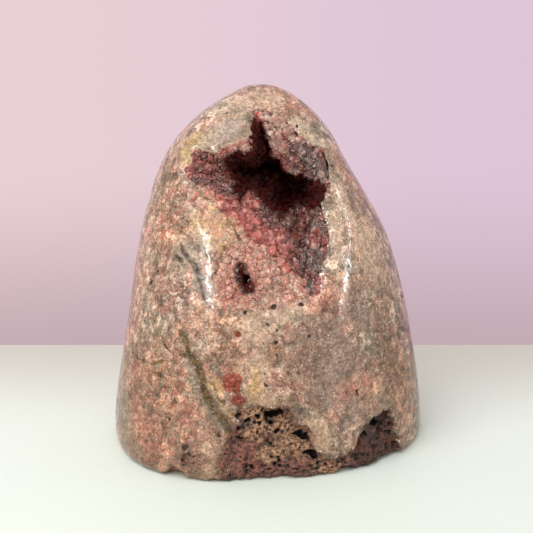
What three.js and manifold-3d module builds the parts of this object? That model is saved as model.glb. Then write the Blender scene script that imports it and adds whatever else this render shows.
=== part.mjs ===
// Pink amethyst geode: a free-form stone, ground and polished all round and sawn flat underneath.
// Two hollows open on its front, a large one and a small one, and each is lined with a crystal crust.
// Millimetres, +Z up, the hollows face -Y, and the origin is the middle of the sawn base.
import * as THREE from 'three';
import { mergeVertices } from 'three/addons/utils/BufferGeometryUtils.js';
import Module from 'manifold-3d';

const wasm = await Module();
wasm.setup();

// ---------- driving dimensions ----------

const HEIGHT = 140;              // base to apex
const APEX_X = -4.6;             // the apex stands a little left of the middle of the base
const APEX_Y = 5;                // and a little behind it
const TURN = 9 * Math.PI / 180; // the broad base is turned, its left end towards the front
const LEFT_POWER = 2.6;          // plan section of the left end: 2 is an ellipse, more is squarer
const RIGHT_POWER = 2.05;        // and of the right end
const EDGE_ROUND = 3.6;          // rolled edge round the sawn base
const SEGMENTS = 48;             // points round the skin

// Half-widths from the leaning axis: height, left, right, front, back.
const GIRTHS = [
  [0, 63.8, 61.8, 48.6, 46.6],
  [10, 63.8, 61.6, 48.4, 46.3],
  [20, 62.4, 60.4, 47.8, 45.3],
  [40, 58.8, 56.9, 45.0, 43.1],
  [60, 54.2, 54.2, 42.0, 39.9],
  [80, 49.2, 49.6, 37.4, 35.6],
  [100, 43.7, 38.5, 31.0, 29.4],
  [110, 40.2, 31.9, 27.0, 25.6],
  [120, 33.6, 26.8, 22.3, 20.7],
  [130, 22.4, 18.8, 15.0, 13.9],
  [136, 12.2, 11.4, 9.0, 8.0],
  [140, 0, 0, 0, 0],
];
const SKIN_HEIGHTS = [0, 0.5, 1.6, 3.6, 10, 19, 28, 37, 46, 55, 64, 73, 82, 90, 98, 106, 113, 119, 124.5,
  129, 133, 136.4, 139];

// Two soft ridges run down the front beside the large hollow: height, left ridge X, right ridge X.
const RIDGES = [
  [60, -20, 24],
  [90, -24, 28],
  [116, -33, 21],
];
const RIDGE_RISE = 1.6;
const RIDGE_WIDTH = 6;
const DISH_DEPTH = 2.4;          // the ground face between the ridges is slightly hollow
const RIDGE_START = [40, 66];    // heights between which ridges and dish grow out of the plain foot
const RIDGE_END = [112, 128];    // and between which they die away below the apex
// Gentle unevenness that hand grinding leaves: height, waves round the stone, radians per mm upwards.
const GRINDING_WAVES = [
  [0.5, 3, 1 / 17],
  [0.4, 5, -1 / 11],
];

const SEAM = 0.35;               // clearance between a crust and its stone wall
const CRUST_RECESS = 0.7;        // a crust ends this far under the polished skin
const UNDERCUT = 0.14;           // a hollow widens by this share behind the sides of its mouth
const SLOPE_SHARE = 0.86;        // how much of its reach the wall loses on its long slope
const SLOPE_SPREAD = 0.35;       // how far round the long slope spreads: 0 a quarter turn, 1 all round
const SLOPE_CURVE = 1.5;         // a long slope closes in by this power of the depth
const WALL_CURVE = 2.5;          // and a steep wall by this one
const HOLLOW_STEPS = [-0.2, 0, 0.12, 0.28, 0.48, 0.7, 0.9]; // shares of the depth
// The open space inside a crust: share of the depth, share of the reach on a steep wall and on a slope.
const OPEN_SHARES = [
  [0.13, 1, 0.68],
  [0.3, 0.98, 0.42],
  [0.55, 0.84, 0.24],
  [0.8, 0.5, 0.14],
  [0.97, 0.1, 0.1],
];
const CRUST_EDGE = 0.8;          // thickness of a crust where it shows at the mouth
const CRYSTAL_RISES = [0.6, 1.2]; // the lowest and the highest crystal, over the usual one
const CRYSTAL_WANDER = 0.15;     // a corner strays this share of a crystal's width
const FRONT_REACH = 9;           // a cutter stands this far out of the front

// The large hollow: its mouth seen from the front, X and height, clockwise from the crack at its top.
const MAIN_MOUTH = [
  [-6.5, 129.2], [-2.2, 129], [0.4, 127.6], [3.4, 126.2], [6.2, 123.4], [9.2, 119.5], [12, 117.4],
  [15, 116], [17.4, 114.3], [19.2, 111.5], [19.6, 107], [19.2, 102.5], [16.2, 97], [17, 93.9],
  [18.6, 90.4], [19.4, 87], [19.2, 83.3], [18.6, 79], [16.4, 75.5], [16, 72], [16.6, 68.4],
  [14.2, 64.8], [11.4, 65.6], [9.2, 68], [7.6, 70.7], [2.4, 75.8], [-4.2, 80.2], [-10.4, 84.3],
  [-12.2, 87], [-15.4, 91.8], [-18.6, 96.3], [-23.8, 99.7], [-28.4, 104.9], [-32.8, 108],
  [-32.6, 110.1], [-29.8, 111.4], [-29.3, 116], [-26.8, 116], [-21.6, 114.3], [-18, 116.7],
  [-10, 113.6], [-8, 115.3], [-7.6, 120.6], [-8.2, 123.4],
];
// What the crystals leave open: from the crack, round a thick mass that hangs from the upper right.
const MAIN_OPENING = [
  [-5.6, 126.6], [-4, 122.6], [-2.2, 118.6], [0.4, 114.2], [2.8, 110.8], [5, 107.4], [8.4, 106.4],
  [9.8, 108.2], [12.4, 105], [17, 103.4], [14.2, 97], [15.6, 91], [16.4, 84], [14.6, 77.8], [13.8, 71],
  [12.8, 67.6], [8.8, 72.6], [2.6, 78], [-4, 82.4], [-9.8, 86.6], [-13.8, 92.4], [-17.2, 97.4],
  [-23, 101.6], [-29, 107.6], [-27.4, 113.6], [-18.4, 113.4], [-9.4, 111.8], [-6.8, 115.4], [-6.4, 121],
];
const MAIN_HOLLOW = {
  mouth: MAIN_MOUTH,
  opening: MAIN_OPENING,
  centre: [0.4, 100],            // middle of the mouth
  deepest: [4, 108],             // the hollow leans up to the right as it goes in
  deepY: 13,                     // how far back its end lies
  lining: 5,                     // thickness of the crust at that end
  slopeTowards: 215,             // degrees: the side where the wall is a long slope, lower left
  columns: 48,                   // crystals stand in columns down into the hollow
  rows: 14,
  crystalRise: 0.85,             // a crystal's height over the width between its neighbours
  bareAbove: 116.5,              // the crack on the left is bare from here up
  seed: 11,
};

// The small hollow below it on the left.
const SMALL_HOLLOW = {
  mouth: [
    [-12.8, 79], [-9.4, 78.8], [-6.8, 76.4], [-5.8, 73.4], [-6.8, 70.4], [-8.2, 68], [-10.2, 66.8],
    [-12.4, 68], [-13.8, 70.4], [-15.6, 72.8], [-15.6, 76.4],
  ],
  opening: [[-12.2, 76.8], [-9.6, 76.6], [-7.4, 73.6], [-8.2, 70], [-10.2, 68.4], [-12.2, 70], [-14, 73.6]],
  centre: [-10.8, 72.8],
  deepest: [-10.2, 72],
  deepY: -23,
  lining: 2.4,
  slopeTowards: 120,
  columns: 12,
  rows: 6,
  crystalRise: 0.7,
  bareAbove: HEIGHT,
  seed: 12,
};

// Unpolished broken rock across the foot of the front: its edge seen from the front.
const RAW_EDGE = [
  [-16, -4], [-17, 8], [-14.5, 18], [-12.5, 27], [-6, 28.5], [-1, 26.5], [5, 27], [7.4, 20.5],
  [13.6, 18.8], [14.6, 11.5], [20, 6.6], [29, 7.4], [32, 14], [38, 18.5], [43.5, 20], [46.5, 12],
  [48, 5], [48.5, -4],
];
const RAW_DEPTH = 1.6;
const RAW_ROUGHNESS = 1;
const RAW_REACH = [-7, 14];      // the breaking cutter, from before the skin to behind it
const RAW_CEILING = 50;          // no rock is broken away above this height
const RAW_SEED = 31;

// Caves in the broken rock: X, height, half-width, half-height, depth.
const CAVES = [
  [1.2, 23.4, 5, 3.4, 6],
  [9.4, 16.2, 3.9, 3, 4.5],
  [13.4, 8.4, 3.2, 1.7, 4.5],
  [41, 17.6, 2, 2, 3],
  [-32, 8.2, 1.5, 3.6, 2.6],
];
const CAVE_SET_BACK = 0.5;
const CAVE_SEED = 7;
// Bites out of the bottom edge: X, half-width, height, depth.
const NOTCHES = [
  [-36.3, 4.4, 5.4, 7],
  [27.5, 5, 3.2, 4.5],
];
const NOTCH_DROP = 0.5;          // the middle of a bite lies this far under the base
const NOTCH_SEED = 17;
const BOULDER_SWELL = [0.86, 1.14];

// ---------- helpers ----------

/** A repeatable stream of numbers from 0 to 1. */
function makeRandom(seed) {
  let state = seed;
  return () => {
    state = (state + 0x6D2B79F5) | 0;
    let mixed = Math.imul(state ^ (state >>> 15), 1 | state);
    mixed = (mixed + Math.imul(mixed ^ (mixed >>> 7), 61 | mixed)) ^ mixed;
    return ((mixed ^ (mixed >>> 14)) >>> 0) / 4294967296;
  };
}

/** A closed BufferGeometry over rings of equal length, each end closed by a fan to the ring's middle. */
function loft(rings) {
  const count = rings[0].length;
  const points = rings.flat();
  const indices = [];
  for (let ring = 0; ring < rings.length - 1; ring += 1) {
    for (let i = 0; i < count; i += 1) {
      const a = ring * count + i;
      const b = ring * count + (i + 1) % count;
      indices.push(a, b, b + count, a, b + count, a + count);
    }
  }
  const ends = [[0, true], [(rings.length - 1) * count, false]];
  for (const [start, isFirst] of ends) {
    const middle = new THREE.Vector3();
    for (let i = 0; i < count; i += 1) middle.addScaledVector(points[start + i], 1 / count);
    const hub = points.push(middle) - 1;
    for (let i = 0; i < count; i += 1) {
      const a = start + i;
      const b = start + (i + 1) % count;
      indices.push(hub, isFirst ? b : a, isFirst ? a : b);
    }
  }
  const geometry = new THREE.BufferGeometry().setFromPoints(points);
  geometry.setIndex(indices);
  return geometry;
}

/** The same mesh with its faces turned, when they point inwards. */
function facingOut(geometry) {
  const at = geometry.getAttribute('position');
  const index = geometry.getIndex();
  const [a, b, c] = [new THREE.Vector3(), new THREE.Vector3(), new THREE.Vector3()];
  let volume = 0;
  for (let i = 0; i < index.count; i += 3) {
    a.fromBufferAttribute(at, index.getX(i));
    b.fromBufferAttribute(at, index.getX(i + 1));
    c.fromBufferAttribute(at, index.getX(i + 2));
    volume += a.dot(b.cross(c));
  }
  if (volume < 0) geometry.setIndex(Array.from(index.array).reverse());
  return geometry;
}

/** A manifold-3d solid from a closed, indexed geometry. */
function toSolid(geometry) {
  return new wasm.Manifold(new wasm.Mesh({
    numProp: 3,
    vertProperties: Float32Array.from(geometry.getAttribute('position').array),
    triVerts: Uint32Array.from(geometry.getIndex().array),
  }));
}

/** A BufferGeometry from a solid. */
function toGeometry(solid) {
  const mesh = solid.getMesh();
  const geometry = new THREE.BufferGeometry();
  geometry.setAttribute('position', new THREE.BufferAttribute(Float32Array.from(mesh.vertProperties), 3));
  geometry.setIndex(new THREE.BufferAttribute(Uint32Array.from(mesh.triVerts), 1));
  return geometry;
}

/** Value at `x` in a table whose rows start with x, by straight lines. */
function tableAt(table, x, column) {
  const last = table.length - 1;
  if (x <= table[0][0]) return table[0][column];
  if (x >= table[last][0]) return table[last][column];
  const next = table.findIndex((row) => row[0] > x);
  const share = (x - table[next - 1][0]) / (table[next][0] - table[next - 1][0]);
  return THREE.MathUtils.lerp(table[next - 1][column], table[next][column], share);
}

// ---------- the skin ----------

// Squares of the half-widths are interpolated, because they fall evenly to nothing at a round apex.
const girthCurve = new THREE.CubicInterpolant(
  GIRTHS.map((row) => row[0]),
  GIRTHS.flatMap((row) => row.slice(1).map((width) => width * width)),
  4,
);

/** How far the front face stands out at a place seen from the front: ridges, and the dish between. */
function faceRelief(x, z) {
  const left = tableAt(RIDGES, z, 1);
  const right = tableAt(RIDGES, z, 2);
  const { smoothstep, clamp } = THREE.MathUtils;
  const fade = smoothstep(z, ...RIDGE_START) * (1 - smoothstep(z, ...RIDGE_END));
  const bump = (away) => Math.exp(-((away / RIDGE_WIDTH) ** 2));
  const ridges = bump(x - left) + bump(x - right);
  const across = clamp((x - left) / (right - left), 0, 1);
  return fade * (RIDGE_RISE * ridges - DISH_DEPTH * Math.sin(Math.PI * across) ** 2);
}

/** How far the hand-ground skin strays outwards. */
function grindingWaver(angle, z) {
  let strayed = 0;
  for (const [rise, waves, climb] of GRINDING_WAVES) strayed += rise * Math.sin(waves * angle + climb * z);
  return strayed;
}

/** A point of the skin, `inset` under the surface. Angle 0 is the right, and the front is at 270 degrees. */
function skinPoint(angle, z, inset = 0) {
  const squares = Array.from(girthCurve.evaluate(z));
  const [left, right, front, back] = squares.map((square) => Math.sqrt(Math.max(square, 0.01)));
  const across = Math.cos(angle);
  const along = Math.sin(angle);
  const halfX = across < 0 ? left : right;
  const halfY = along < 0 ? front : back;
  const power = across < 0 ? LEFT_POWER : RIGHT_POWER;
  let reach = (Math.abs(across / halfX) ** power + Math.abs(along / halfY) ** power) ** (-1 / power);
  if (z < EDGE_ROUND) reach -= EDGE_ROUND - Math.sqrt(EDGE_ROUND ** 2 - (EDGE_ROUND - z) ** 2);
  reach += grindingWaver(angle, z) * Math.min(1, reach / 20) - inset;
  const turned = angle + TURN;
  const point = new THREE.Vector3(
    (APEX_X * z) / HEIGHT + reach * Math.cos(turned),
    (APEX_Y * z) / HEIGHT + reach * Math.sin(turned),
    z,
  );
  if (along < 0) point.y -= faceRelief(point.x, z) * Math.min(1, -2 * along);
  return point;
}

/** Y of the front of the skin at a place seen from the front. */
function frontY(x, z) {
  let low = Math.PI;
  let high = 2 * Math.PI;
  for (let step = 0; step < 24; step += 1) {
    const middle = (low + high) / 2;
    if (skinPoint(middle, z).x < x) low = middle;
    else high = middle;
  }
  return skinPoint(low, z).y;
}

/** The closed skin, `inset(angle, z)` under the surface. */
function skinSolid(inset = () => 0) {
  const rings = SKIN_HEIGHTS.map((z) => {
    const ring = [];
    for (let i = 0; i < SEGMENTS; i += 1) {
      const angle = (2 * Math.PI * i) / SEGMENTS;
      ring.push(skinPoint(angle, z, inset(angle, z)));
    }
    return ring;
  });
  const geometry = loft(rings);
  const apex = geometry.getAttribute('position').count - 1;
  geometry.getAttribute('position').setXYZ(apex, APEX_X, APEX_Y, HEIGHT - inset(0, HEIGHT));
  return toSolid(facingOut(geometry));
}

// ---------- hollows ----------

/** An outline moved inwards by `gap` all along. */
function shrunkOutline(outline, gap) {
  const vectors = outline.map(([x, z]) => new THREE.Vector2(x, z));
  return vectors.map((point, i) => {
    const before = vectors[(i + vectors.length - 1) % vectors.length];
    const after = vectors[(i + 1) % vectors.length];
    const along = after.clone().sub(before).normalize();
    return [point.x + along.y * gap, point.y - along.x * gap];
  });
}

/** How much of its long slope a hollow's wall has on the side `side`, seen from the front. */
function slopeShare(hollow, side) {
  const facing = Math.cos(side - THREE.MathUtils.degToRad(hollow.slopeTowards));
  return THREE.MathUtils.clamp((facing + SLOPE_SPREAD) / (1 + SLOPE_SPREAD), 0, 1);
}

/** A point in a hollow: `reach` from its centre line, `inward` 0 at the mouth and 1 at the end. */
function hollowPoint(hollow, side, reach, inward, surface, end) {
  const along = Math.max(inward, 0);
  return new THREE.Vector3(
    THREE.MathUtils.lerp(hollow.centre[0], hollow.deepest[0], along) + reach * Math.cos(side),
    surface + (end - surface) * inward,
    THREE.MathUtils.lerp(hollow.centre[1], hollow.deepest[1], along) + reach * Math.sin(side),
  );
}

/** The space of a hollow in the stone: its mouth, carried inwards and narrowed to a rounded end. */
function hollowSolid(hollow, gap = 0) {
  const shrunk = shrunkOutline(hollow.mouth, gap);
  const rings = HOLLOW_STEPS.map((inward) => hollow.mouth.map(([x, z], i) => {
    const side = Math.atan2(z - hollow.centre[1], x - hollow.centre[0]);
    const rim = Math.hypot(z - hollow.centre[1], x - hollow.centre[0]);
    const slope = SLOPE_SHARE * slopeShare(hollow, side);
    const depth = Math.max(inward, 0);
    const undercut = 1 + UNDERCUT * Math.sin(Math.PI * depth) * (1 - Math.max(Math.sin(side), 0));
    const keep = slope * (1 - depth) ** SLOPE_CURVE + (1 - slope) * (1 - depth ** WALL_CURVE) * undercut;
    const point = hollowPoint(hollow, side, rim * keep, inward, frontY(x, z), hollow.deepY - gap);
    point.x += shrunk[i][0] - x;
    point.z += shrunk[i][1] - z;
    return point;
  }));
  return toSolid(facingOut(loft(rings)));
}

/** Distance from `centre` to an outline in the direction `side`. */
function outlineReach(outline, centre, side) {
  const ray = new THREE.Vector2(Math.cos(side), Math.sin(side));
  let reach = 0;
  outline.forEach(([x, z], i) => {
    const [nextX, nextZ] = outline[(i + 1) % outline.length];
    const start = new THREE.Vector2(x - centre[0], z - centre[1]);
    const edge = new THREE.Vector2(nextX - x, nextZ - z);
    const across = ray.cross(edge);
    if (Math.abs(across) < 1e-9) return;
    const far = start.cross(edge) / across;
    const share = start.cross(ray) / across;
    if (share >= 0 && share <= 1) reach = Math.max(reach, far);
  });
  return reach;
}

/**
 * The open space inside a crust. Its wall is a net of triangles whose odd columns are shifted by half
 * a row. One crossing in three is drawn out into a point, so each point has six flat sides.
 */
function crystalSpace(hollow) {
  const random = makeRandom(hollow.seed);
  const { columns, rows, centre } = hollow;
  const rimOutline = shrunkOutline(hollow.mouth, SEAM);
  const halfWay = new THREE.Shape(hollow.opening.map(([x, z]) => {
    const side = Math.atan2(z - centre[1], x - centre[0]);
    const reach = (Math.hypot(x - centre[0], z - centre[1]) + outlineReach(rimOutline, centre, side)) / 2;
    return new THREE.Vector2(centre[0] + reach * Math.cos(side), centre[1] + reach * Math.sin(side));
  }));
  const end = hollow.deepY - hollow.lining;
  const net = halfWay.getSpacedPoints(columns).slice(0, columns).map((place, column) => {
    const side = Math.atan2(place.y - centre[1], place.x - centre[0]);
    const reach = outlineReach(hollow.opening, centre, side);
    const rim = Math.max(reach, outlineReach(rimOutline, centre, side) - CRUST_EDGE);
    const slope = slopeShare(hollow, side);
    const surface = frontY(centre[0] + rim * Math.cos(side), centre[1] + rim * Math.sin(side));
    const wall = OPEN_SHARES.map(([inward, steep, sloping]) => (
      hollowPoint(hollow, side, reach * THREE.MathUtils.lerp(steep, sloping, slope), inward, surface, end)
    ));
    const lip = hollowPoint(hollow, side, rim, 0.01, surface, end);
    const line = new THREE.CatmullRomCurve3([lip, ...wall], false, 'centripetal');
    const shift = (column % 2) / 2;
    const points = [];
    for (let row = 0; row < rows; row += 1) points.push(line.getPointAt((row + shift) / rows));
    return points;
  });

  const drawn = net.map((points, column) => points.map((point, row) => {
    const onRim = row === 0;
    const isTip = (column - row + Math.floor(column / 2)) % 3 === 0;
    if (onRim || row === rows - 1) return point.clone();
    const left = net[(column + columns - 1) % columns][row];
    const right = net[(column + 1) % columns][row];
    const acrossLine = right.clone().sub(left);
    const downLine = points[row + 1].clone().sub(points[row - 1]);
    const width = Math.min(acrossLine.length(), downLine.length()) / 2;
    const inwards = acrossLine.cross(downLine).normalize();
    const middle = new THREE.Vector3(centre[0], point.y - 1, centre[1]);
    if (inwards.dot(middle.sub(point)) < 0) inwards.negate();
    const isBare = point.z > hollow.bareAbove && point.x < 0;
    const rise = isBare ? 0 : hollow.crystalRise * width * THREE.MathUtils.lerp(...CRYSTAL_RISES, random());
    const wander = () => (2 * random() - 1) * CRYSTAL_WANDER * width;
    const moved = point.clone().add(new THREE.Vector3(wander(), wander(), wander()));
    return isTip ? moved.addScaledVector(inwards, rise) : moved;
  }));

  const points = [];
  const indices = [];
  const number = (column, row) => (column % columns) * (rows + 1) + row + 1;
  drawn.forEach((line) => {
    const outside = line[0].clone();
    outside.y -= FRONT_REACH;
    points.push(outside, ...line);
  });
  for (let column = 0; column < columns; column += 1) {
    for (let row = -1; row < rows - 1; row += 1) {
      const [a, b] = [number(column, row), number(column + 1, row)];
      if (column % 2 === 0) indices.push(a, b, a + 1, b, b + 1, a + 1);
      else indices.push(a, b, b + 1, a, b + 1, a + 1);
    }
  }
  const hubs = [-1, rows - 1].map((row) => {
    const hub = new THREE.Vector3();
    for (let column = 0; column < columns; column += 1) {
      hub.addScaledVector(points[number(column, row)], 1 / columns);
    }
    return points.push(hub) - 1;
  });
  for (let column = 0; column < columns; column += 1) {
    indices.push(hubs[0], number(column + 1, -1), number(column, -1));
    indices.push(hubs[1], number(column, rows - 1), number(column + 1, rows - 1));
  }
  const geometry = new THREE.BufferGeometry().setFromPoints(points);
  geometry.setIndex(indices);
  return toSolid(facingOut(geometry));
}

/** The crystal crust of a hollow: it lines the stone wall and ends a little under the skin. */
function crustSolid(hollow) {
  const lining = hollowSolid(hollow, SEAM).intersect(skinSolid(() => CRUST_RECESS));
  return lining.subtract(crystalSpace(hollow));
}

/** A closed three.js shape without its seams, so that neighbouring faces share their corners. */
function seamless(geometry) {
  geometry.deleteAttribute('normal');
  geometry.deleteAttribute('uv');
  return mergeVertices(geometry, 1e-4);
}

/** A rough ball of rock in flat faces, for caves and bites. */
function boulderSolid(centre, radii, seed) {
  const random = makeRandom(seed);
  const ball = seamless(new THREE.IcosahedronGeometry(1, 1));
  const at = ball.getAttribute('position');
  for (let i = 0; i < at.count; i += 1) {
    const swell = THREE.MathUtils.lerp(...BOULDER_SWELL, random());
    at.setXYZ(
      i,
      centre[0] + at.getX(i) * radii[0] * swell,
      centre[1] + at.getY(i) * radii[1] * swell,
      centre[2] + at.getZ(i) * radii[2] * swell,
    );
  }
  return toSolid(ball);
}

// ---------- the stone ----------

/** Rock to break away over the foot of the front, down to a rough surface under the skin. */
function rawBreakSolid() {
  const random = makeRandom(RAW_SEED);
  const rings = RAW_REACH.map((reach) => RAW_EDGE.map(([x, z]) => (
    new THREE.Vector3(x, frontY(x, Math.max(z, 0)) + reach, z)
  )));
  const roughDepth = () => RAW_DEPTH + RAW_ROUGHNESS * (2 * random() - 1);
  const roughSkin = skinSolid((angle, z) => (z < RAW_CEILING ? roughDepth() : 0));
  return toSolid(facingOut(loft(rings))).subtract(roughSkin);
}

function stoneSolid() {
  let stone = skinSolid();
  stone = stone.subtract(rawBreakSolid());
  CAVES.forEach(([x, z, halfWidth, halfHeight, depth], i) => {
    const middle = [x, frontY(x, z) + CAVE_SET_BACK, z];
    stone = stone.subtract(boulderSolid(middle, [halfWidth, depth, halfHeight], CAVE_SEED + i));
  });
  NOTCHES.forEach(([x, halfWidth, height, depth], i) => {
    const middle = [x, frontY(x, height / 2), -NOTCH_DROP];
    stone = stone.subtract(boulderSolid(middle, [halfWidth, depth, height], NOTCH_SEED + i));
  });
  stone = stone.subtract(hollowSolid(MAIN_HOLLOW));
  return stone.subtract(hollowSolid(SMALL_HOLLOW));
}

// ---------- the pieces ----------

const solids = {
  geode_stone: stoneSolid(),
  main_hollow_crust: crustSolid(MAIN_HOLLOW),
  small_hollow_crust: crustSolid(SMALL_HOLLOW),
};
const looks = {
  geode_stone: { color: '#b69a8e', roughness: 0.4, metalness: 0 },
  main_hollow_crust: { color: '#a4616b', roughness: 0.35, metalness: 0 },
  small_hollow_crust: { color: '#b05c58', roughness: 0.4, metalness: 0 },
};

// The origin moves to the middle of the stone's base.
const stoneGeometry = toGeometry(solids.geode_stone);
const box = new THREE.Box3().setFromBufferAttribute(stoneGeometry.getAttribute('position'));
const middle = box.getCenter(new THREE.Vector3());

const geode = new THREE.Group();
for (const [name, solid] of Object.entries(solids)) {
  const geometry = toGeometry(solid);
  geometry.translate(-middle.x, -middle.y, 0);
  const mesh = new THREE.Mesh(geometry, new THREE.MeshStandardMaterial(looks[name]));
  mesh.name = name;
  geode.add(mesh);
}

export default geode;
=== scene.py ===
"""A pink amethyst geode: a polished stone with two crystal-lined hollows, on a pale floor in soft light."""

import math
import random

import bmesh
import bpy
import numpy as np
from mathutils import Matrix, Vector, bvhtree, kdtree, noise


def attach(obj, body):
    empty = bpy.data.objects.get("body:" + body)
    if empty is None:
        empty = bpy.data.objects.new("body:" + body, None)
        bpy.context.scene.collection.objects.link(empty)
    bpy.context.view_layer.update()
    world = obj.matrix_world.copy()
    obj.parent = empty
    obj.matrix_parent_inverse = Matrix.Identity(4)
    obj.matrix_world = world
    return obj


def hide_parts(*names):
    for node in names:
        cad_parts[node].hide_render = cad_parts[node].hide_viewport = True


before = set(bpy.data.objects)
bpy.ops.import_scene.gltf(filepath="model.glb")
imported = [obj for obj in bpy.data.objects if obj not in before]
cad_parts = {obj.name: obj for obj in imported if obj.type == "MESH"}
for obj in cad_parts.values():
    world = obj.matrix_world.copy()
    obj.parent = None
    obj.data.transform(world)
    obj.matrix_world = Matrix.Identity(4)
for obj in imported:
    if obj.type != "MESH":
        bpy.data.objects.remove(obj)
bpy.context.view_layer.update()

MM = 0.001
noise.seed_set(1)  # the drift of every patch and vein starts from this

# ---------------------------------------------------------------- the camera
# It stands a third of a metre before the stone, a little above its middle, and looks down by 13 degrees.

CAMERA_PLACE = Vector((-0.76, -341.4, 147.7)) * MM
CAMERA_LOOKS_DOWN = math.radians(13)
CAMERA_LENS = 60
SENSOR_WIDTH = 36

bpy.ops.object.camera_add(location=CAMERA_PLACE, rotation=(math.pi / 2 - CAMERA_LOOKS_DOWN, 0, 0))
camera = bpy.context.object
camera.data.lens = CAMERA_LENS
camera.data.sensor_width = SENSOR_WIDTH
bpy.context.scene.camera = camera

# ---------------------------------------------------------------- the stone
# One free-form lump of pink quartz and chalcedony, shaped on a grinding wheel, polished all round and
# sawn flat below. Across the foot of the front it was left as it broke: spongy, brown and full of holes.
# Minerals cross it in patches and veins, as they grew.

CRUST_NODES = ("main_hollow_crust", "small_hollow_crust")
WELD = 0.002  # mm within which corners count as one
MESH_STEP = 1.25  # mm between corners on the plain skin
CUT_EDGE = math.radians(28)  # edges that turn by more than this were cut, and stay crisp
SMOOTH_ROUNDS = 45  # rounds of smoothing that take the flats off the ground skin
EDGE_KEEPS = (1.2, 6.0)  # mm from a cut edge: inside the first nothing is smoothed
FOOT_KEEPS = (0.6, 7.0)  # mm above the base, in the same way
FINE_CUTS = 2  # broken rock, rims and the lumpy band have their mesh cut this many times
RIM_WIDTH = 3.0  # mm of skin round a hollow that is chipped
CRUST_NEAR = 0.9  # mm: what lies closer than this to a crust is the hidden wall behind it
PIT_MARGIN = 0.9  # mm of finer mesh round a pit
DEEPEST_PIT = 1.1  # mm
BREAK_DEPTH = 0.9  # mm that the broken rock lies below the skin
HOLE_SIZE = 2.0  # mm between the holes of the broken rock
HOLE_DEPTH = 1.7  # mm
SMALL_HOLE_SIZE = 1.6  # mm between those of the weathered skin
SMALL_HOLE_DEPTH = 0.8  # mm
BAND_DEPTH = 0.3  # mm that the lumpy band is sunk
LUMP_WIDTH = 2.6  # mm across its lumps
LUMP_RISE = 1.7  # mm
MASK_STARTS = 0.01  # what a mask has to be over for its corners to be worked on
FAR_OUTSIDE = -50  # mm, for what isn't on the front
LEAST_LEVEL = -3.0  # what a place far from every patch and vein has
WELL_AWAY = 90  # mm: from so far out a side is looked at

# The edge of the broken rock, X and height in mm, seen from the front.
BROKEN_EDGE = [
    (-14.1, -4), (-15.1, 8), (-12.6, 18), (-10.6, 27), (-4.1, 28.5), (0.9, 26.5), (6.9, 27), (9.3, 20.5),
    (15.5, 18.8), (16.5, 11.5), (21.9, 6.6), (30.9, 7.4), (33.9, 14), (39.9, 18.5), (45.4, 20),
    (48.4, 12), (49.9, 5), (50.4, -4),
]
# Left of it the skin is weathered: pitted and rough, but not broken away.
WEATHERED_EDGE = [
    (-36, -4), (-35, 8), (-33, 14), (-29, 17), (-25, 13), (-20, 15.5), (-16, 20), (-10, 20), (-10, -4),
]
# Here thin veins and jasper lie, which need a finer mesh to be drawn.
VEINED_PARTS = [
    [(-38, 50), (-33, 58), (-24, 58), (-18, 44), (-6, 42), (-5, 27), (-16, 20), (-24, 26), (-32, 40)],
    [(-36, 86), (-28, 88), (-19, 64), (-22, 60), (-29, 70)],
    [(9, 126), (14, 127), (26, 112), (24, 100), (20, 103), (18, 113)],
    [(-52, 44), (-40, 53), (-32, 49), (-34, 35), (-43, 36), (-52, 38)],
]
# The lumpy band of half-formed crystals between the two hollows, in the same way.
LUMPY_BAND = [
    (-31, 105), (-24, 101), (-16, 92), (-9.5, 85), (-1, 80), (7, 74), (13, 67.5), (15, 63), (8, 59.5),
    (-2, 60), (-11, 61.5), (-19, 65), (-21, 76), (-21, 84), (-25, 92), (-30, 99),
]

# Single pits, by the side that they are seen from: place across, height and radius in mm.
# "front" and "back" give X across, the ends give Y.
PITS = {
    "front": [
        (-8.1, 60.3, 1.2), (-0.1, 55.7, 0.9), (-0.1, 53.9, 0.6), (1.9, 61.8, 1.2), (-4, 64.2, 0.6),
        (-5.7, 64, 0.6), (-1.8, 61.3, 0.5), (11.2, 55.3, 0.6), (11.7, 62.4, 1.2), (3, 53.8, 0.7),
        (2.8, 49.6, 0.9), (2.8, 45.4, 0.8), (14.3, 51.5, 0.9), (-0.5, 35.4, 0.9), (32.7, 29.8, 0.9),
        (33.1, 28.4, 0.6), (-1.6, 39.1, 0.7), (-6.1, 38.5, 0.5), (-35.7, 91.3, 0.5), (-30.8, 92.7, 0.6),
        (-40.9, 73.1, 0.7), (-43.4, 68.7, 1.1), (-18, 74.9, 1.5), (-20.6, 49, 0.5), (-37.1, 33, 0.5),
        (-33.6, 29.6, 0.5), (-34.6, 27.6, 0.4), (-35.6, 22, 0.6), (-17.5, 18, 1.0), (-30.2, 12.4, 1.2),
        (-28.8, 9.6, 1.1), (-15, 11.3, 0.8), (-15.8, 129, 0.6), (-14.5, 126.7, 0.4), (-17.1, 123.3, 0.4),
        (10.9, 124.5, 0.7), (24, 109.8, 0.7), (24.7, 112.9, 0.5), (27.4, 90.8, 0.5), (29.6, 75.2, 0.4),
        (38.9, 16.5, 1.5),
    ],
    "back": [(12, 70, 0.8), (-24, 30, 1.0), (26, 104, 0.6)],
    "left": [(10, 40, 0.8)],
    "right": [(-4, 58, 0.9), (14, 36, 0.7)],
}

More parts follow.
